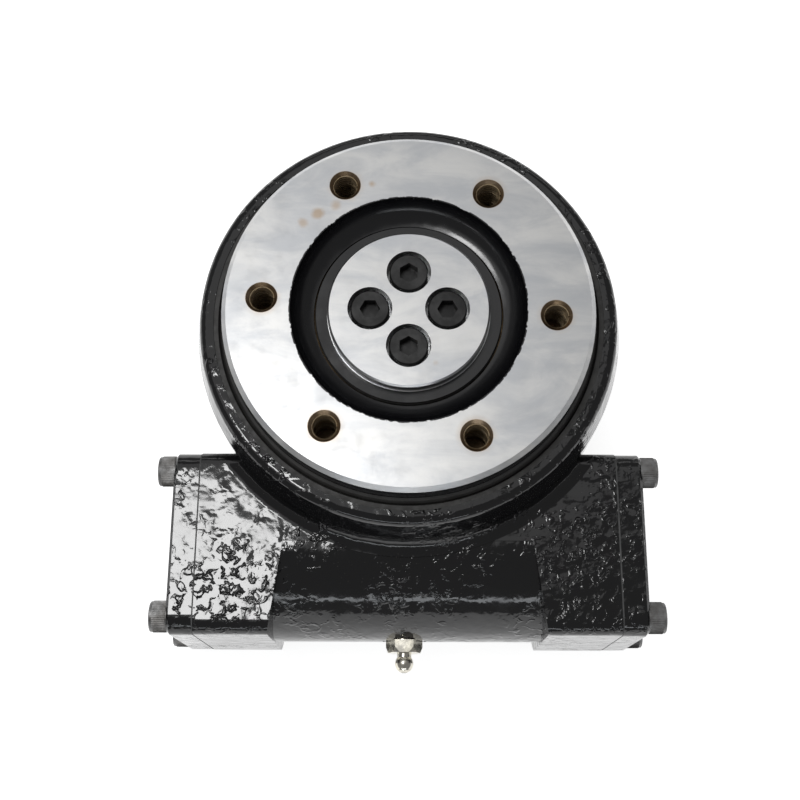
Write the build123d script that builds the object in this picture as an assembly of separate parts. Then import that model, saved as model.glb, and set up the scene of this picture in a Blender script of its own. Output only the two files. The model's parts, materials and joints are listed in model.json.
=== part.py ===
from build123d import *
from math import acos, asin, atan, cos, degrees, pi, radians, sin, tan
import os

# Slew drive for a single-axis solar tracker: a worm turns a toothed output ring in a cast housing.
# Frame: +Z up along the slewing axis, X along the worm, -Y towards the worm box.
# The origin is the centre of the base mounting face. All sizes are in millimetres.

# ---- Overall heights
ring_face_z = 92.0          # output flange face above the base face
ring_bottom_z = 17.0        # underside of the output ring
shoulder_drop = 10.5        # housing shoulder below the output face
hub_drop = 2.0              # hub cap face below the output face
ledge_drop = 13.0           # ring's inner ledge below the output face
post_drop = 20.0            # centre post below the output face

# ---- Clearances
running_gap = 1.0           # between the ring and the housing around it
ball_clear = 0.05           # raceway radius over ball radius
seat_clear = 0.05           # radial clearance of a part pushed into its seat
seal_clear = 0.1            # radial gap left at a seal lip
thread_clear = 0.05         # tapped hole radius over the screw's shank radius
pass_clear = 0.3            # clearance hole radius over the screw's shank radius
tooth_clear = 0.44          # side clearance of each wheel tooth flank
tip_relief = 0.5            # extra flank relief of the outer half of each wheel tooth

# ---- Worm gearing
module = 3.75
wheel_teeth = 31
pressure_angle = 20.0
worm_pitch_r = 14.375
tooth_band = 14.0           # face width of the toothed band
worm_axis_z = 31.5
worm_thread_length = 60.0
root_clearance = 0.25       # share of the module left below each tooth tip
axial_pitch = pi * module
wheel_pitch_r = module * wheel_teeth / 2
centre_distance = wheel_pitch_r + worm_pitch_r
lead_angle = degrees(atan(axial_pitch / (2 * pi * worm_pitch_r)))
worm_tip_r = worm_pitch_r + module
worm_root_r = worm_pitch_r - (1 + root_clearance) * module
wheel_tip_r = wheel_pitch_r + 0.9 * module
space_tilt = 1.06 * lead_angle      # evens out the thread's changing slope across the tooth band

# ---- Output ring
ring_r = 62.3
ring_chamfer = 1.5
ring_neck_r = 56.0          # clear of the worm above and below the teeth
ring_bore_r = 31.5
ring_lip_r = 32.0           # bore that closes round the hub cap flange
groove_r = 39.5             # mouth of the concave groove in the output face
groove_depth = 8.0
ledge_r = 25.5              # inner ledge that carries the thrust washer
ledge_thick = 6.0
neck_height = 9.0
bolt_circle_r = 49.1
bolt_count = 6
bolt_thread_r = 5.0
bolt_drill_r = 4.25
bolt_depth = 22.0
bolt_clock = -3.5           # the ring's rest position about the slewing axis

# ---- Housing drum
drum_draft = 2.4            # how far the drum's top edge leans in
drum_draft_h = 12.0
drum_edge = 3.0
rim_width = 4.4             # flat rim outside the seal pocket
floor_z = 16.0
post_r = 23.0
seal_width = 3.9
seal_pocket_depth = 4.0
base_circle_r = 52.0        # tapped holes in the base
base_depth = 13.0
base_chamfer = 1.0

# ---- Ball rows
ball_d = 9.525
upper_row_drop = 15.5       # upper ball row below the shoulder
upper_balls_n = 20
lower_row_r = 40.0
lower_row_z = 16.5
lower_balls_n = 12
spacer_d = 8.6
spacer_gap = 0.15           # between a spacer and each ball beside it
race_r = ball_d / 2 + ball_clear
plug_r = 5.0
plug_recess = 1.0

# ---- Hub cap and its screws
hub_r = 27.25
hub_flange_r = 31.2
hub_flange_thick = 4.2
washer_thick = 2.0
oring_wire = 2.1
hub_screw_circle_r = 12.95
hub_screw_count = 4
hub_bore_r = 7.5
hub_screw_r = 4.0
hub_screw_length = 30.0
hub_tap_depth = 26.0
hub_head_r = 6.5
hub_hex = 6.0
head_recess = 0.6           # screw heads below the hub face

# ---- Worm box
box_side = 61.0
box_edge = 4.5
box_half = 70.7
tube_r = 30.0
waist_half = 42.0           # half length of the round middle of the box
waist_draft = 8.0
tunnel_gap = 1.1            # around the worm threads
cove_r = 5.0                # fillet between the drum and the worm box

# ---- Worm shaft and its taper roller bearings
journal_r = 12.5
bearing_r = 23.5
bearing_width = 15.0
register_length = 5.7       # how far each end cap reaches in to its bearing cup
collar_r = 15.5
roller_count = 16
roller_pitch_r = 17.6
roller_tilt = 13.0
roller_taper = 2.0
roller_length = 10.0
roller_clear = 0.03
cage_thick = 1.0
input_bore_r = 7.0
input_depth = 32.0
key_width = 5.0
key_depth = 2.3
shaft_end_gap = 3.0
shaft_blind_gap = 3.7

# ---- End caps
cap_thick = 8.6
cap_corner = 6.0
cap_edge = 2.0
gasket_thick = 0.5
cap_screw_offset = 24.5     # from the worm axis to each screw, both ways
cap_screw_r = 3.0
cap_screw_length = 22.0
cap_tap_depth = 18.0
cap_head_r = 5.0
cap_hex = 5.0
cap_spot_r = 5.6            # machined seat under each end screw head
cap_spot_depth = 0.3
cap_bore_r = 15.0
shaft_seal_r = 17.5
shaft_seal_width = 7.0

# ---- Grease nipple
nipple_x = -1.2
nipple_hex = 11.0
nipple_hex_h = 4.2
nipple_neck_r = 2.5
nipple_ball_r = 3.25
nipple_length = 11.0
nipple_thread_r = 5.0
nipple_thread_length = 8.0
nipple_bore_r = 1.0
spot_depth = 0.25

# ---- Derived places
shoulder_z = ring_face_z - shoulder_drop
upper_row_z = shoulder_z - upper_row_drop
ledge_z = ring_face_z - ledge_drop
post_top_z = ring_face_z - post_drop
hub_face_z = ring_face_z - hub_drop
worm_y = -centre_distance
band_low = worm_axis_z - tooth_band / 2
band_high = worm_axis_z + tooth_band / 2
drum_bore_r = ring_r + running_gap
upper_row_r = ring_r + running_gap / 2
seal_pocket_r = ring_r + seal_width
drum_top_r = seal_pocket_r + rim_width
drum_r = drum_top_r + drum_draft
cap_inner_x = box_half + gasket_thick
cap_outer_x = cap_inner_x + cap_thick
cap_seat_x = cap_outer_x - cap_spot_depth
bearing_outer_x = box_half - register_length
bearing_inner_x = bearing_outer_x - bearing_width
shaft_blind_x = box_half - shaft_blind_gap
washer_top_z = ledge_z + washer_thick
nipple_seat_y = worm_y - tube_r + spot_depth
box_top_z = worm_axis_z + box_side / 2
worm_place = Location((0, worm_y, worm_axis_z))


def turned(points):
    """A solid of revolution about +Z from an outline of (radius, height) points."""
    return revolve(Plane.XZ * make_face(Polyline(*points, close=True)), Axis.Z)


def ring_solid(inner_r, outer_r, low, high):
    return turned([(inner_r, low), (outer_r, low), (outer_r, high), (inner_r, high)])


def along_x(shape, side=1):
    """Lay a shape built along +Z on the worm axis, pointing to +X or -X."""
    return worm_place * Rot(0, 90 * side, 0) * shape


def socket_screw(shank_r, length, head_r, head_h, hex_flats):
    """Hexagon socket cap screw, head seat at z=0, shank downwards."""
    head = Pos(0, 0, head_h / 2) * Cylinder(head_r, head_h)
    head = chamfer(head.edges().group_by(Axis.Z)[-1], 0.06 * head_r)
    socket = Pos(0, 0, head_h) * extrude(RegularPolygon(hex_flats / 2, 6, major_radius=False), -0.5 * head_h)
    shank = Pos(0, 0, -length / 2) * Cylinder(shank_r, length)
    shank = chamfer(shank.edges().group_by(Axis.Z)[0], 0.15 * shank_r)
    return head + shank - socket


def raceway(row_r, row_z):
    return Pos(0, 0, row_z) * Torus(row_r, race_r)


def ball_row(row_r, row_z, count):
    return [Pos(0, 0, row_z) * place * Sphere(ball_d / 2) for place in PolarLocations(row_r, count)]


def spacer_row(row_r, row_z, count):
    """Short plastic slugs between the balls, lying along the raceway."""
    half_turn = 180 / count
    chord = 2 * row_r * sin(radians(half_turn))
    length = chord - ball_d - 2 * spacer_gap
    slug = Rot(90, 0, 0) * Cylinder(spacer_d / 2, length)
    slug = chamfer(slug.edges(), 0.8)
    places = PolarLocations(row_r, count, half_turn)
    return [Pos(0, 0, row_z) * place * slug for place in places]


# ---- Gearing
def involute(angle):
    return tan(angle) - angle


def half_space(radius):
    """Half width of the wheel's tooth space at a radius, from the involute."""
    base_r = wheel_pitch_r * cos(radians(pressure_angle))
    at = acos(min(1.0, base_r / radius))
    half_tooth = pi / (2 * wheel_teeth) + involute(radians(pressure_angle)) - involute(at)
    relief = tip_relief * max(0.0, min(1.0, 2 * (radius - wheel_pitch_r) / module))
    return radius * sin(pi / wheel_teeth - half_tooth) + tooth_clear + relief


def tooth_space():
    """One tooth space: its outline turned about the worm axis and tilted to the lead angle."""
    tip = worm_tip_r + root_clearance * module
    mouth = centre_distance - wheel_tip_r - 1.5
    steps = 6
    depths = [mouth + (tip - mouth) * i / steps for i in range(steps + 1)]
    flank = [(depth, half_space(centre_distance - depth)) for depth in depths]
    mirror = [(depth, -width) for depth, width in reversed(flank)]
    outline = make_face([
        Spline(*flank),
        Line(flank[-1], mirror[0]),
        Spline(*mirror),
        Line(mirror[-1], flank[0]),
    ])
    disc = revolve(Plane.XZ * outline, Axis.Z)
    return worm_place * Rot(0, space_tilt, 0) * Rot(0, 90, 0) * disc


def worm_thread():
    """Single right-hand thread, straight sided in the axial plane, along +Z."""
    slope = tan(radians(pressure_angle))
    half_tip = axial_pitch / 4 - module * slope
    low_r = worm_root_r - 0.4
    half_low = axial_pitch / 4 + (worm_pitch_r - low_r) * slope
    turns_below = worm_thread_length / 2 // axial_pitch + 2
    start = -turns_below * axial_pitch
    section = Plane.XZ * make_face(Polyline(
        (low_r, start - half_low), (worm_tip_r, start - half_tip),
        (worm_tip_r, start + half_tip), (low_r, start + half_low), close=True))
    path = Pos(0, 0, start) * Helix(axial_pitch, 2 * turns_below * axial_pitch, worm_pitch_r)
    thread = sweep(section, path=path, is_frenet=True)
    end = worm_thread_length / 2
    run_out = module * 0.8
    keep = turned([(0, -end), (worm_root_r, -end), (worm_tip_r, -end + run_out),
                   (worm_tip_r + 1, -end + run_out), (worm_tip_r + 1, end - run_out),
                   (worm_tip_r, end - run_out), (worm_root_r, end), (0, end)])
    return thread & keep


def worm_shaft():
    """Hollow-ended worm: thread, collars, bearing journals and keyed input bore."""
    end = cap_outer_x - shaft_end_gap
    half = worm_thread_length / 2 + 2
    step = collar_r - worm_root_r
    shaft = turned([
        (0, -shaft_blind_x), (journal_r, -shaft_blind_x), (journal_r, -bearing_inner_x),
        (collar_r, -bearing_inner_x), (collar_r, -half - step), (worm_root_r, -half),
        (worm_root_r, half), (collar_r, half + step), (collar_r, bearing_inner_x),
        (journal_r, bearing_inner_x), (journal_r, end), (0, end)])
    shaft = chamfer(shaft.edges().filter_by(GeomType.CIRCLE).group_by(Axis.Z)[0], 1)
    shaft = shaft + worm_thread()
    bore = Pos(0, 0, end - input_depth / 2) * Cylinder(input_bore_r, input_depth)
    keyway = Pos(0, (input_bore_r + key_depth) / 2, end - input_depth / 2) * Box(
        key_width, input_bore_r + key_depth, input_depth)
    return along_x(Rot(0, 0, 90) * (shaft - bore - keyway))


# ---- Output ring
def output_ring():
    corner = (groove_r, ring_face_z)
    lip = (ring_lip_r, ring_face_z - groove_depth)
    outline = make_face([
        Polyline(lip, (ring_lip_r, ledge_z), (ledge_r, ledge_z), (ledge_r, ledge_z - ledge_thick),
                 (ring_bore_r, ledge_z - 2 * ledge_thick), (ring_bore_r, ring_bottom_z),
                 (ring_neck_r, ring_bottom_z), (ring_neck_r, band_low), (wheel_tip_r, band_low),
                 (wheel_tip_r, band_high), (ring_neck_r, band_high),
                 (ring_neck_r, band_high + neck_height), (ring_r, band_high + neck_height + ring_r - ring_neck_r),
                 (ring_r, ring_face_z - ring_chamfer), (ring_r - ring_chamfer, ring_face_z), corner),
        RadiusArc(corner, lip, 1.1 * groove_depth),
    ])
    body = revolve(Plane.XZ * outline, Axis.Z)
    body = body - raceway(upper_row_r, upper_row_z) - raceway(lower_row_r, lower_row_z)
    sink = bolt_thread_r + 0.3
    hole = Pos(0, 0, -bolt_depth / 2) * Cylinder(bolt_drill_r, bolt_depth)
    hole += Pos(0, 0, -(sink - bolt_drill_r) / 2) * Cone(bolt_drill_r, sink, sink - bolt_drill_r)
    for place in PolarLocations(bolt_circle_r, bolt_count, bolt_clock):
        body -= Pos(0, 0, ring_face_z) * place * hole
    spaces = [Rot(0, 0, 360 / wheel_teeth * i) * tooth_space() for i in range(wheel_teeth)]
    return body - spaces


# ---- Housing
def drum_solid():
    inner_low = drum_bore_r
    outline = [
        (0, 0), (drum_r - base_chamfer, 0), (drum_r, base_chamfer),
        (drum_r, shoulder_z - drum_draft_h), (drum_top_r, shoulder_z),
        (seal_pocket_r, shoulder_z), (seal_pocket_r, shoulder_z - seal_pocket_depth),
        (inner_low, shoulder_z - seal_pocket_depth), (inner_low, floor_z),
        (post_r, floor_z), (post_r, post_top_z), (0, post_top_z)]
    drum = turned(outline)
    rim = drum.edges().filter_by(GeomType.CIRCLE).filter_by(
        lambda e: abs(e.radius - drum_top_r) < 0.01)
    return fillet(rim, drum_edge)


def worm_box_solid():
    """Square box along the worm with a round middle, open inside for the worm and bearings."""
    box = worm_place * Box(2 * box_half, box_side, box_side)
    box = fillet(box.edges().filter_by(Axis.X), box_edge)
    front = Plane((0, worm_y, worm_axis_z), x_dir=(1, 0, 0), z_dir=(0, -1, 0))
    cut = extrude(front * Rectangle(2 * waist_half, 2 * box_side), box_side, taper=-waist_draft)
    round_part = worm_place * Rot(0, 90, 0) * Cylinder(tube_r, 4 * waist_half)
    return box - (cut - round_part)


def cove_solid():
    """Fillet of cast iron where the drum wall runs down on to the worm box."""
    low, top, far = box_top_z - cove_r, box_top_z + cove_r, drum_r + cove_r
    outline = make_face([
        Polyline((drum_r, top), (drum_r - 1, top), (drum_r - 1, low), (far, low), (far, box_top_z)),
        RadiusArc((far, box_top_z), (drum_r, top), cove_r),
    ])
    ring = revolve(Plane.XZ * outline, Axis.Z)
    depth = drum_r + cove_r
    footprint = Pos(0, worm_y + box_side / 2 - box_edge - depth / 2, box_top_z) * Box(
        2 * box_half - 2 * box_edge, depth, 3 * cove_r)
    return ring & footprint


def housing_casting():
    drum = drum_solid()
    cavity = ring_solid(post_r, drum_bore_r, floor_z, shoulder_z - seal_pocket_depth)
    body = drum + (worm_box_solid() + cove_solid() - cavity)
    tunnel = Cylinder(worm_tip_r + tunnel_gap, 2 * box_half)
    bores = [Pos(0, 0, side * (bearing_inner_x + box_half + 1) / 2) * Cylinder(
        bearing_r, box_half + 1 - bearing_inner_x) for side in (-1, 1)]
    body = body - along_x(tunnel) - [along_x(bore) for bore in bores]
    body = body + Pos(0, 0, (floor_z + post_top_z) / 2) * Cylinder(post_r, post_top_z - floor_z)
    body -= raceway(upper_row_r, upper_row_z)
    body -= raceway(lower_row_r, lower_row_z)
    for place in PolarLocations(hub_screw_circle_r, hub_screw_count):
        body -= Pos(0, 0, post_top_z - hub_tap_depth / 2) * place * Cylinder(
            hub_screw_r + thread_clear, hub_tap_depth)
    for place in PolarLocations(base_circle_r, bolt_count):
        body -= Pos(0, 0, base_depth / 2) * place * Cylinder(bolt_drill_r, base_depth)
    for side in (-1, 1):
        for y, z in cap_screw_places():
            body -= along_x(Pos(z, y, box_half - cap_tap_depth / 2) * Cylinder(
                cap_screw_r + thread_clear, cap_tap_depth), side)
    body -= nipple_axis() * Pos(0, 0, -1.5 * nipple_thread_length) * Cylinder(
        nipple_thread_r + thread_clear, 3 * nipple_thread_length)
    body -= nipple_axis() * Pos(0, 0, 2) * Cylinder(nipple_hex / 2 + 2, 4)
    body -= plug_axis() * Cylinder(plug_r + seat_clear, drum_r)
    return body


def cap_screw_places():
    return [(y * cap_screw_offset, z * cap_screw_offset) for y in (-1, 1) for z in (-1, 1)]


def plug_axis():
    """Axis of the ball filling hole at the back of the drum, from the upper raceway outwards."""
    return Pos(0, upper_row_r + drum_r / 2, upper_row_z) * Rot(-90, 0, 0)


def nipple_axis():
    return Pos(nipple_x, nipple_seat_y, worm_axis_z) * Rot(90, 0, 0)


# ---- Pieces held in the drum
def hub_cap():
    """Flanged disc that closes the middle of the ring, with counterbores for its screws."""
    flange_low = washer_top_z
    flange_high = flange_low + hub_flange_thick
    groove = oring_wire * 0.8
    mid = (flange_low + flange_high) / 2
    cap = turned([
        (0, post_top_z), (post_r, post_top_z), (post_r, flange_low),
        (hub_flange_r, flange_low), (hub_flange_r, mid - oring_wire / 2),
        (hub_flange_r - groove, mid - oring_wire / 2), (hub_flange_r - groove, mid + oring_wire / 2),
        (hub_flange_r, mid + oring_wire / 2), (hub_flange_r, flange_high),
        (hub_r, flange_high), (hub_r, hub_face_z), (0, hub_face_z)])
    rim = cap.edges().filter_by(GeomType.CIRCLE).group_by(Axis.Z)[-1]
    cap = chamfer(rim, 0.6)
    head_h = 2 * hub_screw_r
    for place in PolarLocations(hub_screw_circle_r, hub_screw_count):
        cap -= Pos(0, 0, hub_face_z - (head_h + head_recess) / 2) * place * Cylinder(
            hub_bore_r, head_h + head_recess)
        cap -= Pos(0, 0, (hub_face_z + post_top_z) / 2) * place * Cylinder(
            hub_screw_r + pass_clear, hub_face_z - post_top_z)
    return cap


def hub_screws():
    head_h = 2 * hub_screw_r
    screw = socket_screw(hub_screw_r, hub_screw_length, hub_head_r, head_h, hub_hex)
    seat = hub_face_z - head_recess - head_h
    return [Pos(0, 0, seat) * place * screw for place in PolarLocations(hub_screw_circle_r, hub_screw_count)]


def inner_seal():
    mid = washer_top_z + hub_flange_thick / 2
    wire_r = oring_wire / 2 - 0.02
    return Pos(0, 0, mid) * Torus(hub_flange_r - 0.8 * oring_wire + wire_r, wire_r)


def outer_seal():
    """Rubber lip seal in the housing's pocket; its lip leans on the ring above the shoulder."""
    low = shoulder_z - seal_pocket_depth
    lip_r = ring_r + seal_clear
    return turned([
        (seal_pocket_r, low), (seal_pocket_r, shoulder_z - 0.4), (seal_pocket_r - 1.6, shoulder_z - 0.4),
        (seal_pocket_r - 2.1, shoulder_z - 1.6), (lip_r + 0.9, shoulder_z + 0.9),
        (lip_r, shoulder_z + 1.4), (lip_r, shoulder_z + 0.6), (lip_r + 0.7, shoulder_z - 1.8),
        (lip_r + 0.7, low)])


def thrust_washer():
    return ring_solid(ledge_r, ring_lip_r - seat_clear, ledge_z, washer_top_z - 0.02)


def filling_plug():
    """Plug in the ball filling hole, with a screwdriver slot in its recessed end."""
    inner = upper_row_r + race_r
    length = drum_r - plug_recess - inner
    plug = Pos(0, inner + length / 2, upper_row_z) * Rot(-90, 0, 0) * Cylinder(plug_r, length)
    slot = Pos(0, drum_r - plug_recess, upper_row_z) * Box(2 * plug_r, 2.4, 1.2)
    return plug - slot


# ---- Worm bearings, drawn for the +X end and turned round for the other
def cone_r(x, half_angle):
    """Radius of a raceway cone at a distance along the worm axis."""
    mid = bearing_inner_x + bearing_width / 2
    apex = mid + roller_pitch_r / tan(radians(roller_tilt))
    return (apex - x) * tan(radians(half_angle))


def bearing_cup(side):
    angle = roller_tilt + roller_taper
    a, b = bearing_inner_x + 1.5, bearing_outer_x
    cup = turned([(cone_r(a, angle), a), (bearing_r - seat_clear, a), (bearing_r - seat_clear, b),
                  (cone_r(b, angle), b)])
    return along_x(cup, side)


def bearing_cone(side):
    angle = roller_tilt - roller_taper
    a, b = bearing_inner_x, bearing_outer_x - 1
    half = roller_length / 2 * cos(radians(roller_tilt)) + 0.9
    mid = bearing_inner_x + bearing_width / 2
    rib = 1.6
    cone = turned([
        (journal_r, a), (cone_r(a, angle) + rib, a), (cone_r(mid - half, angle) + rib, mid - half - 0.4),
        (cone_r(mid - half, angle), mid - half), (cone_r(mid + half, angle), mid + half),
        (cone_r(b, angle), b), (journal_r, b)])
    return along_x(cone, side)


def roller_places():
    mid = bearing_inner_x + bearing_width / 2
    return [Rot(0, 0, 360 / roller_count * i) * Pos(roller_pitch_r, 0, mid) * Rot(0, -roller_tilt, 0)
            for i in range(roller_count)]


def rollers(side):
    reach = roller_pitch_r / sin(radians(roller_tilt))
    slope = tan(radians(roller_taper))
    big = (reach + roller_length / 2) * slope - roller_clear
    small = (reach - roller_length / 2) * slope - roller_clear
    roller = Cone(big, small, roller_length)
    return [along_x(place * roller, side) for place in roller_places()]


def roller_cage(side):
    """Pressed cage: a thin cone along the rollers with one window for each."""
    mid = bearing_inner_x + bearing_width / 2
    half = roller_length / 2 + 0.9
    a, b = mid - half, mid + half
    r_a = cone_r(a, roller_tilt) - cage_thick / 2
    r_b = cone_r(b, roller_tilt) - cage_thick / 2
    cage = turned([(r_a, a), (r_a + cage_thick, a), (r_b + cage_thick, b), (r_b, b)])
    reach = roller_pitch_r / sin(radians(roller_tilt)) * tan(radians(roller_taper))
    window = Box(2 * reach, 2 * reach + 0.3, roller_length + 0.3)
    cage = cage - [place * window for place in roller_places()]
    return along_x(cage, side)


# ---- End caps
def cap_plate(thick, low):
    plate = Pos(0, 0, low + thick / 2) * Box(box_side, box_side, thick)
    return fillet(plate.edges().filter_by(Axis.Z), cap_corner)


def screw_holes(low, high):
    hole = Cylinder(cap_screw_r + pass_clear, high - low)
    return [Pos(z, y, (low + high) / 2) * hole for y, z in cap_screw_places()]


def screw_seats():
    seat = Cylinder(cap_spot_r, cap_spot_depth)
    return [Pos(z, y, (cap_seat_x + cap_outer_x) / 2) * seat for y, z in cap_screw_places()]


def end_cap(side, open_end):
    """Flange with a register that holds the bearing cup; the drive end is open for the motor shaft."""
    cap = cap_plate(cap_thick, cap_inner_x)
    cap = chamfer(cap.edges().group_by(Axis.Z)[-1], cap_edge / 2)
    register = ring_solid(cap_bore_r, bearing_r - seat_clear, bearing_outer_x, cap_inner_x)
    cap = cap + register - screw_holes(cap_inner_x, cap_outer_x) - screw_seats()
    if open_end:
        seal_low = cap_outer_x - shaft_seal_width - 0.5
        cap -= Pos(0, 0, (cap_inner_x + seal_low) / 2) * Cylinder(cap_bore_r, seal_low - cap_inner_x)
        cap -= Pos(0, 0, (seal_low + cap_outer_x) / 2) * Cylinder(shaft_seal_r, cap_outer_x - seal_low)
    return along_x(cap, side)


def gasket(side):
    sheet = cap_plate(gasket_thick, box_half) - ring_solid(0, bearing_r, box_half, cap_inner_x)
    return along_x(sheet - screw_holes(box_half, cap_inner_x), side)


def cap_screws(side):
    screw = socket_screw(cap_screw_r, cap_screw_length, cap_head_r, 2 * cap_screw_r, cap_hex)
    return [along_x(Pos(z, y, cap_seat_x) * screw, side) for y, z in cap_screw_places()]


def shaft_seal():
    """Oil seal between the drive end cap and the worm's end."""
    top = cap_outer_x - 0.5
    low = top - shaft_seal_width
    lip = journal_r + seal_clear
    return along_x(turned([
        (shaft_seal_r - seat_clear, low), (shaft_seal_r - seat_clear, top), (lip + 0.8, top),
        (lip, top - 3.6), (lip, top - 4.4), (lip + 2.2, low + 1.4), (lip + 2.2, low)]))


# ---- Grease nipple
def grease_nipple():
    hexagon = extrude(RegularPolygon(nipple_hex / 2, 6, major_radius=False), nipple_hex_h)
    crown = Pos(0, 0, nipple_hex_h / 2) * Cone(nipple_hex / 2 + 1.6, nipple_hex / 2 + 0.2, nipple_hex_h)
    neck = Pos(0, 0, nipple_length / 2) * Cylinder(nipple_neck_r, nipple_length - 2)
    ball = Pos(0, 0, nipple_length - nipple_ball_r) * Sphere(nipple_ball_r)
    thread = Pos(0, 0, -nipple_thread_length / 2) * Cylinder(nipple_thread_r, nipple_thread_length)
    bore = Cylinder(nipple_bore_r, 3 * nipple_length)
    return nipple_axis() * ((hexagon & crown) + neck + ball + thread - bore)


nodes = {
    "housing_casting": housing_casting,
    "hub_cap": hub_cap,
    "hub_screws": hub_screws,
    "outer_seal": outer_seal,
    "inner_seal": inner_seal,
    "filling_plug": filling_plug,
    "grease_nipple": grease_nipple,
    "output_ring": output_ring,
    "thrust_washer": thrust_washer,
    "upper_balls": lambda: ball_row(upper_row_r, upper_row_z, upper_balls_n),
    "upper_spacers": lambda: spacer_row(upper_row_r, upper_row_z, upper_balls_n),
    "lower_balls": lambda: ball_row(lower_row_r, lower_row_z, lower_balls_n),
    "lower_spacers": lambda: spacer_row(lower_row_r, lower_row_z, lower_balls_n),
    "worm_shaft": worm_shaft,
    "end_cap_drive": lambda: end_cap(1, True),
    "end_cap_blind": lambda: end_cap(-1, False),
    "shaft_seal": shaft_seal,
}
for end, side in (("drive", 1), ("blind", -1)):
    nodes["bearing_cup_" + end] = lambda side=side: bearing_cup(side)
    nodes["bearing_cone_" + end] = lambda side=side: bearing_cone(side)
    nodes["rollers_" + end] = lambda side=side: rollers(side)
    nodes["roller_cage_" + end] = lambda side=side: roller_cage(side)
    nodes["gasket_" + end] = lambda side=side: gasket(side)
    nodes["cap_screws_" + end] = lambda side=side: cap_screws(side)

os.makedirs("parts", exist_ok=True)
for name, build in nodes.items():
    made = build()
    solid = Compound(children=made) if isinstance(made, list) else made
    export_step(solid, "parts/" + name + ".step")
    print(name, round(solid.volume))
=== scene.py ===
"""Finishes and small detail of a worm slew drive, laid out as a Blender add-on."""

import json
from math import cos, pi, radians, sin

import bpy
from mathutils import Matrix, Vector

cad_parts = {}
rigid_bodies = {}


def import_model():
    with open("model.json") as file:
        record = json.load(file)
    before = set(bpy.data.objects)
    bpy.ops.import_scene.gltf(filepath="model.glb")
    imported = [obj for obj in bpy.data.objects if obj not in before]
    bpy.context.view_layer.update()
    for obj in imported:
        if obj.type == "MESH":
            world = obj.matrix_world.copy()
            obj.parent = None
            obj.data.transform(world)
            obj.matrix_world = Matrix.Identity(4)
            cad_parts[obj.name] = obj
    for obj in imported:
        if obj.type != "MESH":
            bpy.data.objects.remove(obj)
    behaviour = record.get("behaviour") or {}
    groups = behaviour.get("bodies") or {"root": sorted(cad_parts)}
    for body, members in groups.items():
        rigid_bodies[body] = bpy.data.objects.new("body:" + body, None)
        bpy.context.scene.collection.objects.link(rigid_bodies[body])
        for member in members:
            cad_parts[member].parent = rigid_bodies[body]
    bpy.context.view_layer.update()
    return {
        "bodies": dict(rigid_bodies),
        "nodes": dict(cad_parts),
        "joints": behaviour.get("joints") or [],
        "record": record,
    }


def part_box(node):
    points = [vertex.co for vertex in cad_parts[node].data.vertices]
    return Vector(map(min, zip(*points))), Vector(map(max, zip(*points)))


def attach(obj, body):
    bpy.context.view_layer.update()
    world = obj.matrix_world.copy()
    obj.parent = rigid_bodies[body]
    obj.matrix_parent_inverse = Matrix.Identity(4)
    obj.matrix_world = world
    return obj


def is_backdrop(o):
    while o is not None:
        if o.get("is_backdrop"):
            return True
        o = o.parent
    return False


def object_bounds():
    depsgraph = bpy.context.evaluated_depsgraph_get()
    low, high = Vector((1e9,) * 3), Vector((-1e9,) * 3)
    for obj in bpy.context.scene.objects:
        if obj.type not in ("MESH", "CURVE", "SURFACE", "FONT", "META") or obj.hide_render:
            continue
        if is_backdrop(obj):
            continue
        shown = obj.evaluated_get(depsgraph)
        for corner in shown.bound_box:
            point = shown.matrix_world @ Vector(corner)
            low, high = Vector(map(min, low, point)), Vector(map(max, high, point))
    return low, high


bl_info = {
    "name": "Slew Drive Finishes",
    "version": (1, 0, 0),
    "blender": (4, 5, 0),
    "location": "View3D > Sidebar > Slew Drive",
    "description": "Dresses a worm slew drive with paint, machined steel, threads and knurling",
    "category": "Object",
}

MM = 0.001
PAINTED = ("housing_casting", "end_cap_drive", "end_cap_blind")
ZINC = ("cap_screws_drive", "cap_screws_blind", "filling_plug")
RUBBER = ("outer_seal", "inner_seal", "shaft_seal")
GROUND = ("upper_balls", "lower_balls", "worm_shaft", "bearing_cup_drive", "bearing_cup_blind",
          "bearing_cone_drive", "bearing_cone_blind", "rollers_drive", "rollers_blind",
          "roller_cage_drive", "roller_cage_blind")
NYLON = ("upper_spacers", "lower_spacers")
GASKETS = ("gasket_drive", "gasket_blind")
THREAD_RIDGE = 0.42 * MM        # half thickness of a thread crest
KNURL_RIDGE = 0.26 * MM         # half thickness of a knurl ridge
KNURL_SHARE = 0.74              # knurled share of a screw head's height
SINK_RADIUS = 5.25 * MM         # rusty mouth of each tapped hole
TURNING_PITCH = 0.32 * MM       # spacing of the turning marks on the faces
FLOOR_DROP = 0.2 * MM           # floor below the base face
RING_STAINS = (((-36, 30), 1.6, 0.5), ((-31, 33.5), 2.0, 0.65),     # place and reach in mm, strength
               ((-25, 36.5), 1.8, 0.5), ((-12.8, 44.5), 0.9, 0.6))
HUB_STAINS = (((9, -19), 0.6, 0.35),)
PAINT_BLACK = (0.005, 0.005, 0.006, 1)
frame = {}


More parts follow.
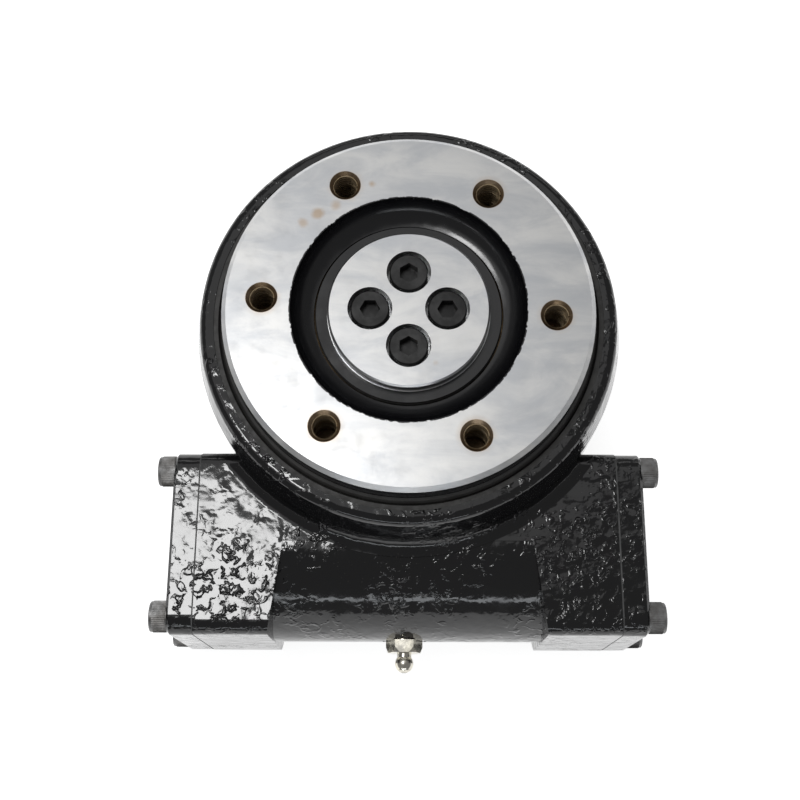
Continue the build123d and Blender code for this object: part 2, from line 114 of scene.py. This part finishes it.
# ---- Shader helpers
class Nodes:
    """A material's node tree with short calls for the nodes used here."""

    def __init__(self, name):
        self.material = bpy.data.materials.new(name)
        self.material.use_nodes = True
        self.tree = self.material.node_tree
        self.shader = self.tree.nodes["Principled BSDF"]
        self.point = self.tree.nodes.new("ShaderNodeTexCoord").outputs["Object"]

    def link(self, value, socket):
        if isinstance(value, bpy.types.NodeSocket):
            self.tree.links.new(value, socket)
        else:
            socket.default_value = value

    def set(self, **values):
        """Values for the shader's sockets, by name with underscores for spaces."""
        for key, value in values.items():
            self.link(value, self.shader.inputs[key.replace("_", " ")])

    def math(self, operation, a, b=0.0, c=0.0):
        node = self.tree.nodes.new("ShaderNodeMath")
        node.operation = operation
        for value, socket in zip((a, b, c), node.inputs):
            self.link(value, socket)
        return node.outputs[0]

    def noise(self, scale, detail=3.0, roughness=0.5, distortion=0.0, stretch=(1, 1, 1)):
        mapping = self.tree.nodes.new("ShaderNodeMapping")
        mapping.inputs["Scale"].default_value = stretch
        self.link(self.point, mapping.inputs["Vector"])
        node = self.tree.nodes.new("ShaderNodeTexNoise")
        self.link(mapping.outputs[0], node.inputs["Vector"])
        for key, value in (("Scale", scale), ("Detail", detail), ("Roughness", roughness),
                           ("Distortion", distortion)):
            node.inputs[key].default_value = value
        return node.outputs["Fac"]

    def cells(self, scale):
        node = self.tree.nodes.new("ShaderNodeTexVoronoi")
        self.link(self.point, node.inputs["Vector"])
        node.inputs["Scale"].default_value = scale
        return node.outputs["Distance"]

    def band(self, value, low, high, out_low=0.0, out_high=1.0):
        """Smooth step of a value from low to high."""
        node = self.tree.nodes.new("ShaderNodeMapRange")
        node.interpolation_type = "SMOOTHSTEP"
        self.link(value, node.inputs["Value"])
        for key, number in (("From Min", low), ("From Max", high), ("To Min", out_low), ("To Max", out_high)):
            node.inputs[key].default_value = number
        return node.outputs["Result"]

    def mix(self, share, a, b):
        node = self.tree.nodes.new("ShaderNodeMix")
        node.data_type = "RGBA"
        self.link(share, node.inputs[0])
        self.link(a, node.inputs[6])
        self.link(b, node.inputs[7])
        return node.outputs[2]

    def bump(self, height, strength, distance, under=None):
        node = self.tree.nodes.new("ShaderNodeBump")
        node.inputs["Strength"].default_value = strength
        node.inputs["Distance"].default_value = distance
        self.link(height, node.inputs["Height"])
        if under is not None:
            self.link(under, node.inputs["Normal"])
        return node.outputs["Normal"]

    def axes(self):
        node = self.tree.nodes.new("ShaderNodeSeparateXYZ")
        self.link(self.point, node.inputs[0])
        return node.outputs[0], node.outputs[1], node.outputs[2]

    def radius(self):
        x, y, _ = self.axes()
        return self.length(x, y)

    def length(self, a, b):
        """Length of the flat vector (a, b)."""
        return self.math("SQRT", self.math("ADD", self.math("MULTIPLY", a, a), self.math("MULTIPLY", b, b)))

    def spot(self, at, reach, edge=0.4):
        """A stain mask round a place in the face, with a ragged rim."""
        x, y, _ = self.axes()
        dx = self.math("SUBTRACT", x, at[0] * MM)
        dy = self.math("SUBTRACT", y, at[1] * MM)
        away = self.length(dx, dy)
        ragged = self.math("MULTIPLY_ADD", self.noise(260, 4.0, 0.6), 2.2 * MM, away)
        return self.band(ragged, reach * MM, (reach + edge + 1.6) * MM, 1.0, 0.0)


def grey(level, warm=0.0):
    return (level + warm, level, level - warm, 1.0)


# ---- Materials
def cast_paint(look):
    n = Nodes("gloss_black_casting")
    skin = n.noise(150, 2.0, 0.45, 0.3)
    peel = n.noise(620, 2.0, 0.5)
    lumps = n.band(n.noise(340, 2.0, 0.5, 0.6), 0.5, 0.7)
    patches = n.band(n.noise(38, 3.0, 0.55), 0.40, 0.62)
    dots = n.band(n.cells(760), 0.03, 0.12, 1.0, 0.0)
    specks = n.math("MULTIPLY", dots, n.band(n.noise(130, 3.0, 0.6), 0.5, 0.66))
    n.set(Base_Color=n.mix(specks, (0.0045, 0.0045, 0.005, 1), (0.11, 0.10, 0.085, 1)),
          Roughness=n.band(n.noise(170, 4.0, 0.6), 0.3, 0.8, 0.05, 0.17),
          Metallic=0.0, Specular_IOR_Level=0.5)
    low = n.bump(skin, 0.7, look.grain_height)
    mid = n.bump(n.math("MULTIPLY", lumps, patches), 0.8, 0.8 * look.grain_height, low)
    n.set(Normal=n.bump(peel, 0.2, 0.25 * look.grain_height, mid))
    return n.material


def machined_face(name, look, bare, stains, holes):
    """Ground steel, bare between two radii and above a height, painted elsewhere, with rusty holes."""
    n = Nodes(name)
    inner, outer, floor = bare
    _, _, z = n.axes()
    r = n.radius()
    cloud = n.noise(38, 5.0, 0.62, 0.5, (1, 2.4, 1))
    fine = n.noise(900, 3.0, 0.6)
    speck = n.band(n.cells(520), 0.02, 0.09, 1.0, 0.0)
    steel = n.mix(n.band(cloud, 0.32, 0.7), (0.42, 0.43, 0.445, 1), (0.56, 0.558, 0.55, 1))
    nicks = n.math("MULTIPLY", speck, n.band(fine, 0.45, 0.6, 0.0, 0.35))
    steel = n.mix(nicks, steel, (0.30, 0.29, 0.28, 1))
    for at, reach, strength in stains:
        steel = n.mix(n.math("MULTIPLY", n.spot(at, reach), strength), steel, (0.36, 0.25, 0.15, 1))
    rough = n.band(n.noise(120, 4.0, 0.6), 0.3, 0.75, look.face_roughness - 0.06, look.face_roughness + 0.1)
    turned = n.math("SINE", n.math("MULTIPLY", r, 2 * pi / TURNING_PITCH))
    height = n.math("ADD", n.math("MULTIPLY", turned, 0.12), n.math("MULTIPLY", fine, 0.6))
    if holes:
        x, y, _ = n.axes()
        count, circle, clock, reach = holes
        turn = n.math("SUBTRACT", n.math("ARCTAN2", y, x), clock)
        step = 2 * pi / count
        fold = n.math("SUBTRACT", n.math("FLOORED_MODULO", n.math("ADD", turn, step / 2), step), step / 2)
        along = n.math("SUBTRACT", n.math("MULTIPLY", r, n.math("COSINE", fold)), circle)
        across = n.math("MULTIPLY", r, n.math("SINE", fold))
        away = n.length(along, across)
        wall = n.band(away, reach, reach + 0.25 * MM, 1.0, 0.0)
        rust = n.mix(n.noise(700, 4.0, 0.6), (0.07, 0.045, 0.028, 1), (0.27, 0.19, 0.11, 1))
        steel = n.mix(wall, steel, rust)
        halo = n.band(away, reach, reach + 2.2 * MM, 0.35, 0.0)
        ring_mark = n.math("MULTIPLY", halo, n.band(cloud, 0.4, 0.6))
        steel = n.mix(ring_mark, steel, (0.42, 0.33, 0.24, 1))
    ragged = n.math("MULTIPLY_ADD", n.band(n.noise(420, 5.0, 0.7), 0.45, 0.8), 0.9 * MM, r)
    painted = n.band(ragged, inner + 0.35 * MM, inner + 0.5 * MM, 1.0, 0.0)
    painted = n.math("MAXIMUM", painted, n.band(r, outer, outer + 0.15 * MM))
    low_side = n.band(z, floor, floor + 0.2 * MM, 1.0, 0.0)
    below = n.math("MULTIPLY", low_side, n.band(r, outer - 1.2 * MM, outer - MM))
    painted = n.math("MAXIMUM", painted, below)
    steel = n.mix(painted, steel, PAINT_BLACK)
    metal = n.math("SUBTRACT", 1.0, painted)
    rough = n.math("MULTIPLY_ADD", painted, -0.16, rough)
    n.set(Base_Color=steel, Metallic=metal, Roughness=rough, Normal=n.bump(height, 0.22, 0.05 * MM))
    return n.material


def plain_metal(name, light, dark, roughness, bump_scale=800, metallic=1.0):
    n = Nodes(name)
    n.set(Base_Color=n.mix(n.band(n.noise(160, 4.0, 0.6), 0.35, 0.7), dark, light), Metallic=metallic,
          Roughness=n.band(n.noise(300, 4.0, 0.6), 0.3, 0.8, roughness - 0.07, roughness + 0.12),
          Normal=n.bump(n.noise(bump_scale, 3.0, 0.6), 0.25, 0.06 * MM))
    return n.material


def rubber(name):
    n = Nodes(name)
    n.set(Base_Color=n.mix(n.noise(240, 4.0, 0.6), (0.012, 0.012, 0.012, 1), (0.05, 0.048, 0.045, 1)),
          Metallic=0.0, Roughness=n.band(n.noise(400, 3.0, 0.6), 0.2, 0.8, 0.45, 0.7),
          Normal=n.bump(n.noise(1200, 2.0, 0.5), 0.2, 0.05 * MM))
    return n.material


def rusty_thread():
    n = Nodes("rusty_thread")
    rust = n.mix(n.noise(650, 5.0, 0.65), (0.09, 0.06, 0.035, 1), (0.42, 0.32, 0.19, 1))
    n.set(Base_Color=rust, Metallic=n.band(n.noise(500, 3.0, 0.6), 0.4, 0.6, 0.2, 0.8),
          Roughness=0.5, Normal=n.bump(n.noise(2400, 3.0, 0.6), 0.4, 0.05 * MM))
    return n.material


# ---- Geometry Nodes helpers
class Rule:
    """A geometry node group with named inputs, made into a plain mesh at the end."""

    def __init__(self, name):
        self.name = name
        self.tree = bpy.data.node_groups.new(name, "GeometryNodeTree")
        self.tree.interface.new_socket("Geometry", in_out="OUTPUT", socket_type="NodeSocketGeometry")
        self.values = {}
        self.entry = self.tree.nodes.new("NodeGroupInput")

    def value(self, name, number, kind="NodeSocketFloat"):
        socket = self.tree.interface.new_socket(name, in_out="INPUT", socket_type=kind)
        self.values[socket.identifier] = number
        return self.entry.outputs[name]

    def node(self, kind, inputs=(), **settings):
        made = self.tree.nodes.new(kind)
        for key, value in settings.items():
            setattr(made, key, value)
        for key, value in dict(inputs).items():
            if isinstance(value, bpy.types.NodeSocket):
                self.tree.links.new(value, made.inputs[key])
            else:
                made.inputs[key].default_value = value
        return made

    def mesh_piece(self, geometry, material):
        real = self.node("GeometryNodeRealizeInstances", {"Geometry": geometry})
        done = self.node("GeometryNodeSetMaterial", {"Geometry": real.outputs[0], "Material": material})
        out = self.tree.nodes.new("NodeGroupOutput")
        self.tree.links.new(done.outputs[0], out.inputs[0])
        holder = bpy.data.objects.new(self.name + "_rule", bpy.data.meshes.new(self.name + "_rule"))
        bpy.context.scene.collection.objects.link(holder)
        modifier = holder.modifiers.new("rule", "NODES")
        modifier.node_group = self.tree
        for identifier, number in self.values.items():
            modifier[identifier] = number
        graph = bpy.context.evaluated_depsgraph_get()
        mesh = bpy.data.meshes.new_from_object(holder.evaluated_get(graph), depsgraph=graph)
        bpy.data.objects.remove(holder)
        if not mesh.polygons:
            raise RuntimeError(self.name + " came out empty")
        piece = bpy.data.objects.new(self.name, mesh)
        bpy.context.scene.collection.objects.link(piece)
        return piece


def ring_holes():
    """The ring's tapped holes, from the record: circle radius and thread start in metres, and count."""
    for mount in frame["record"]["mounts"]:
        if mount["name"] == "output_bolts":
            return mount["dims"]["pcd_mm"] / 2 * MM, mount["pos_m"][2], mount["dims"]["count"]
    raise RuntimeError("the record has no output_bolts mount")


def hole_threads(look, material):
    """Thread crests in the tapped holes of the output ring."""
    circle, start, count = ring_holes()
    rule = Rule("ring_threads")
    crest = rule.value("Crest radius", look.thread_radius)
    length = rule.value("Thread length", look.thread_turns * look.thread_pitch)
    spiral = rule.node("GeometryNodeCurveSpiral", {
        "Resolution": 28, "Rotations": look.thread_turns, "Start Radius": crest, "End Radius": crest,
        "Height": length})
    profile = rule.node("GeometryNodeCurvePrimitiveCircle", {"Resolution": 3, "Radius": THREAD_RIDGE})
    ridge = rule.node("GeometryNodeCurveToMesh", {
        "Curve": spiral.outputs[0], "Profile Curve": profile.outputs["Curve"], "Fill Caps": True})
    spots = rule.node("GeometryNodeMeshCircle", {"Vertices": count, "Radius": circle})
    low = start - look.thread_turns * look.thread_pitch
    placed = rule.node("GeometryNodeTransform", {
        "Geometry": spots.outputs[0], "Translation": (0, 0, low), "Rotation": (0, 0, look.ring_clock)})
    copies = rule.node("GeometryNodeInstanceOnPoints", {
        "Points": placed.outputs[0], "Instance": ridge.outputs[0]})
    piece = rule.mesh_piece(copies.outputs[0], material)
    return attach(piece, "ring")


def head_knurls(look, material, node, side):
    """Straight knurling round the four screw heads at one end of the worm box."""
    lo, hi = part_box(node)
    head_r = look.end_head_radius
    middle = (lo + hi) / 2
    spread = hi.y - lo.y - 2 * head_r
    seat = hi.x - look.end_head_height if side > 0 else lo.x + look.end_head_height
    centre_x = seat + side * look.end_head_height * 0.45
    rule = Rule(node + "_knurl")
    ridges = rule.value("Ridges", look.knurl_count, "NodeSocketInt")
    radius = rule.value("Head radius", head_r)
    ridge = rule.node("GeometryNodeMeshCone", {
        "Vertices": 3, "Radius Top": KNURL_RIDGE, "Radius Bottom": KNURL_RIDGE,
        "Depth": look.end_head_height * KNURL_SHARE})
    around = rule.node("GeometryNodeMeshCircle", {"Vertices": ridges, "Radius": radius})
    centred = rule.node("GeometryNodeTransform", {
        "Geometry": ridge.outputs[0], "Translation": (0, 0, -look.end_head_height * KNURL_SHARE / 2)})
    knurl = rule.node("GeometryNodeInstanceOnPoints", {
        "Points": around.outputs[0], "Instance": centred.outputs[0]})
    laid = rule.node("GeometryNodeTransform", {"Geometry": knurl.outputs[0], "Rotation": (0, pi / 2, 0)})
    corners = rule.node("GeometryNodeMeshGrid", {
        "Size X": spread, "Size Y": spread, "Vertices X": 2, "Vertices Y": 2})
    stood = rule.node("GeometryNodeTransform", {
        "Geometry": corners.outputs[0], "Translation": (centre_x, middle.y, middle.z),
        "Rotation": (0, pi / 2, 0)})
    heads = rule.node("GeometryNodeInstanceOnPoints", {
        "Points": stood.outputs[0], "Instance": laid.outputs[0]})
    piece = rule.mesh_piece(heads.outputs[0], material)
    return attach(piece, "housing")


def assign(nodes, material):
    for node in nodes:
        mesh = frame["nodes"][node].data
        mesh.materials.clear()
        mesh.materials.append(material)


# ---- Settings
class SlewLook(bpy.types.PropertyGroup):
    grain_height: bpy.props.FloatProperty(
        name="Grain height", description="Height of the sand-cast grain", default=0.00045, unit="LENGTH")
    face_roughness: bpy.props.FloatProperty(
        name="Face roughness", description="Roughness of the ground steel faces",
        default=0.34, min=0.1, max=0.9)
    groove_radius: bpy.props.FloatProperty(
        name="Groove radius", description="Inside this the output face is painted",
        default=0.0395, unit="LENGTH")
    ring_radius: bpy.props.FloatProperty(
        name="Ring radius", description="Outer radius of the output ring", default=0.0626, unit="LENGTH")
    bare_depth: bpy.props.FloatProperty(
        name="Bare depth", description="How far the ring's side is bare steel",
        default=0.0018, unit="LENGTH")
    hub_radius: bpy.props.FloatProperty(
        name="Hub radius", description="Radius of the bare steel on the hub cap",
        default=0.0274, unit="LENGTH")
    ring_clock: bpy.props.FloatProperty(
        name="Ring clocking", description="Turn of the ring's holes at rest",
        default=radians(-3.5), unit="ROTATION")
    thread_radius: bpy.props.FloatProperty(
        name="Crest radius", description="Radius of the tapped thread's crests",
        default=0.0041, unit="LENGTH")
    thread_pitch: bpy.props.FloatProperty(
        name="Thread pitch", description="Pitch of the tapped threads", default=0.0015, unit="LENGTH")
    thread_turns: bpy.props.IntProperty(
        name="Thread turns", description="Turns of thread modelled in each hole", default=12, min=1)
    end_head_radius: bpy.props.FloatProperty(
        name="End head radius", description="Head radius of the end screws", default=0.005, unit="LENGTH")
    end_head_height: bpy.props.FloatProperty(
        name="End head height", description="Head height of the end screws", default=0.006, unit="LENGTH")
    knurl_count: bpy.props.IntProperty(
        name="Knurl ridges", description="Ridges round each end screw head", default=48, min=8)


class SlewView(bpy.types.PropertyGroup):
    elevation: bpy.props.FloatProperty(
        name="Elevation", description="Camera height angle above the horizon",
        default=radians(70.27), unit="ROTATION")
    roll: bpy.props.FloatProperty(
        name="Roll", description="Camera roll", default=radians(0.18), unit="ROTATION")
    distance: bpy.props.FloatProperty(
        name="Distance", description="Camera distance from the output face", default=0.44, unit="LENGTH")
    lens: bpy.props.FloatProperty(name="Lens", description="Focal length in millimetres", default=59.7)
    shift_x: bpy.props.FloatProperty(name="Shift X", description="Lens shift sideways", default=-0.0109)
    shift_y: bpy.props.FloatProperty(name="Shift Y", description="Lens shift upwards", default=-0.1173)


# ---- Operators
class SLEW_OT_paint(bpy.types.Operator):
    """Give the castings their gloss black enamel"""
    bl_idname = "slew.paint"
    bl_label = "Paint castings"

    def execute(self, context):
        assign(PAINTED, cast_paint(context.scene.slew_look))
        return {"FINISHED"}


class SLEW_OT_machined(bpy.types.Operator):
    """Give the output ring and the hub cap their ground steel faces"""
    bl_idname = "slew.machined"
    bl_label = "Machined faces"

    def execute(self, context):
        look = context.scene.slew_look
        circle, _, count = ring_holes()
        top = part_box("output_ring")[1].z
        bare = (look.groove_radius, look.ring_radius, top - look.bare_depth)
        holes = (count, circle, look.ring_clock, SINK_RADIUS)
        ring = machined_face("ground_ring", look, bare, RING_STAINS, holes)
        assign(("output_ring",), ring)
        hub = machined_face("ground_hub", look, (-MM, look.hub_radius, 0.0), HUB_STAINS, None)
        assign(("hub_cap",), hub)
        return {"FINISHED"}


class SLEW_OT_fittings(bpy.types.Operator):
    """Give screws, seals, bearings, gaskets and the nipple their finishes"""
    bl_idname = "slew.fittings"
    bl_label = "Fittings"

    def execute(self, context):
        assign(("hub_screws",), plain_metal("black_oxide", grey(0.035), grey(0.012), 0.36, metallic=0.6))
        assign(ZINC, plain_metal("dull_zinc", grey(0.24), grey(0.13, 0.004), 0.48))
        nipple = plain_metal("plated_nipple", (0.78, 0.74, 0.62, 1), (0.52, 0.50, 0.45, 1), 0.2)
        assign(("grease_nipple",), nipple)
        assign(GROUND, plain_metal("ground_bearing_steel", grey(0.66), grey(0.50), 0.24))
        # Bronze coloured far darker than bare bronze, so the washer reads dark down the gap between hub and
        # ring.
        bronze = plain_metal("darkened_bronze", (0.10, 0.07, 0.04, 1), (0.05, 0.035, 0.02, 1), 0.3)
        assign(("thrust_washer",), bronze)
        assign(RUBBER, rubber("seal_rubber"))
        nylon = plain_metal("natural_nylon", (0.80, 0.77, 0.68, 1), (0.70, 0.66, 0.56, 1), 0.45, metallic=0.0)
        assign(NYLON, nylon)
        assign(GASKETS, plain_metal("gasket_fibre", grey(0.10), grey(0.05), 0.7, metallic=0.0))
        return {"FINISHED"}


class SLEW_OT_threads(bpy.types.Operator):
    """Cut thread crests into the ring's tapped holes"""
    bl_idname = "slew.threads"
    bl_label = "Hole threads"

    def execute(self, context):
        hole_threads(context.scene.slew_look, rusty_thread())
        return {"FINISHED"}


class SLEW_OT_knurls(bpy.types.Operator):
    """Knurl the heads of the end screws"""
    bl_idname = "slew.knurls"
    bl_label = "Screw knurling"

    def execute(self, context):
        material = plain_metal("knurled_zinc", grey(0.22), grey(0.11, 0.004), 0.5)
        for node, side in (("cap_screws_drive", 1), ("cap_screws_blind", -1)):
            head_knurls(context.scene.slew_look, material, node, side)
        return {"FINISHED"}


def area_light(name, place, target, size, power, tint=(1, 1, 1)):
    lamp = bpy.data.lights.new(name, "AREA")
    lamp.shape = "RECTANGLE"
    lamp.size, lamp.size_y = size
    lamp.energy = power
    lamp.color = tint
    holder = bpy.data.objects.new(name, lamp)
    holder.location = place
    holder.rotation_euler = (Vector(target) - Vector(place)).to_track_quat("-Z", "Y").to_euler()
    bpy.context.scene.collection.objects.link(holder)


def floor_material():
    material = bpy.data.materials.new("pale_floor")
    material.use_nodes = True
    tree = material.node_tree
    shader = tree.nodes["Principled BSDF"]
    shader.inputs["Base Color"].default_value = (0.92, 0.92, 0.92, 1)
    shader.inputs["Roughness"].default_value = 0.9
    shader.inputs["Emission Color"].default_value = (1, 1, 1, 1)
    shader.inputs["Emission Strength"].default_value = 0.8
    return material


class SLEW_OT_stage(bpy.types.Operator):
    """Set up the floor, the backdrop, the lights and the camera"""
    bl_idname = "slew.stage"
    bl_label = "Stage"

    def execute(self, context):
        scene = context.scene
        view = scene.slew_view
        low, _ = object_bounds()
        side = 3.0
        height = low[2] - FLOOR_DROP
        corners = [(x * side, y * side, height) for x, y in ((-1, -1), (1, -1), (1, 1), (-1, 1))]
        mesh = bpy.data.meshes.new("floor")
        mesh.from_pydata(corners, [], [(0, 1, 2, 3)])
        mesh.materials.append(floor_material())
        floor = bpy.data.objects.new("floor", mesh)
        scene.collection.objects.link(floor)
        floor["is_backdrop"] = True
        self.backdrop(scene)
        centre = (0, -0.03, 0.05)
        area_light("overhead", (-0.22, 0.24, 1.0), centre, (1.1, 0.75), 1.7)
        area_light("left_patch", (-0.25, 0.06, 1.05), centre, (0.2, 0.24), 2.6)
        area_light("front_strip", (-0.05, -1.0, 0.40), centre, (0.9, 0.1), 1.1, (0.92, 0.96, 1.0))
        area_light("back_strip", (0.1, 1.0, 0.6), centre, (1.2, 0.16), 0.8)
        lens = bpy.data.cameras.new("camera")
        lens.lens = view.lens
        lens.shift_x, lens.shift_y = view.shift_x, view.shift_y
        lens.clip_start = 0.01
        camera = bpy.data.objects.new("camera", lens)
        away = Vector((0, -cos(view.elevation), sin(view.elevation)))
        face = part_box("output_ring")[1].z
        turn = Matrix.Rotation(view.roll, 3, away)
        right = turn @ Vector((1, 0, 0))
        up = turn @ away.cross(Vector((1, 0, 0)))
        camera.matrix_world = Matrix((right, up, away)).transposed().to_4x4()
        camera.location = Vector((0, 0, face)) + away * view.distance
        scene.collection.objects.link(camera)
        scene.camera = camera
        scene.view_settings.view_transform = "Standard"
        return {"FINISHED"}

    def backdrop(self, scene):
        """White to the camera, softer grey as a light source."""
        world = bpy.data.worlds.new("backdrop")
        scene.world = world
        world.use_nodes = True
        tree = world.node_tree
        shade = tree.nodes["Background"]
        shade.inputs["Color"].default_value = (1, 1, 1, 1)
        path = tree.nodes.new("ShaderNodeLightPath")
        choose = tree.nodes.new("ShaderNodeMapRange")
        choose.inputs["To Min"].default_value = 0.27
        choose.inputs["To Max"].default_value = 1.0
        tree.links.new(path.outputs["Is Camera Ray"], choose.inputs["Value"])
        tree.links.new(choose.outputs["Result"], shade.inputs["Strength"])


class SLEW_PT_panel(bpy.types.Panel):
    """Buttons for the slew drive's finishes"""
    bl_idname = "SLEW_PT_panel"
    bl_label = "Slew Drive"
    bl_space_type = "VIEW_3D"
    bl_region_type = "UI"
    bl_category = "Slew Drive"

    def draw(self, context):
        for settings in (context.scene.slew_look, context.scene.slew_view):
            for name in settings.__annotations__:
                self.layout.prop(settings, name)
        for operator in OPERATORS:
            self.layout.operator(operator.bl_idname)


OPERATORS = (SLEW_OT_paint, SLEW_OT_machined, SLEW_OT_fittings, SLEW_OT_threads, SLEW_OT_knurls,
             SLEW_OT_stage)
CLASSES = (SlewLook, SlewView) + OPERATORS + (SLEW_PT_panel,)


def register():
    for item in CLASSES:
        bpy.utils.register_class(item)
    bpy.types.Scene.slew_look = bpy.props.PointerProperty(type=SlewLook)
    bpy.types.Scene.slew_view = bpy.props.PointerProperty(type=SlewView)


def unregister():
    del bpy.types.Scene.slew_view
    del bpy.types.Scene.slew_look
    for item in reversed(CLASSES):
        bpy.utils.unregister_class(item)


def main():
    frame.update(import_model())
    register()
    bpy.ops.slew.paint()
    bpy.ops.slew.machined()
    bpy.ops.slew.fittings()
    bpy.ops.slew.threads()
    bpy.ops.slew.knurls()
    bpy.ops.slew.stage()


if __name__ == "__main__":
    main()
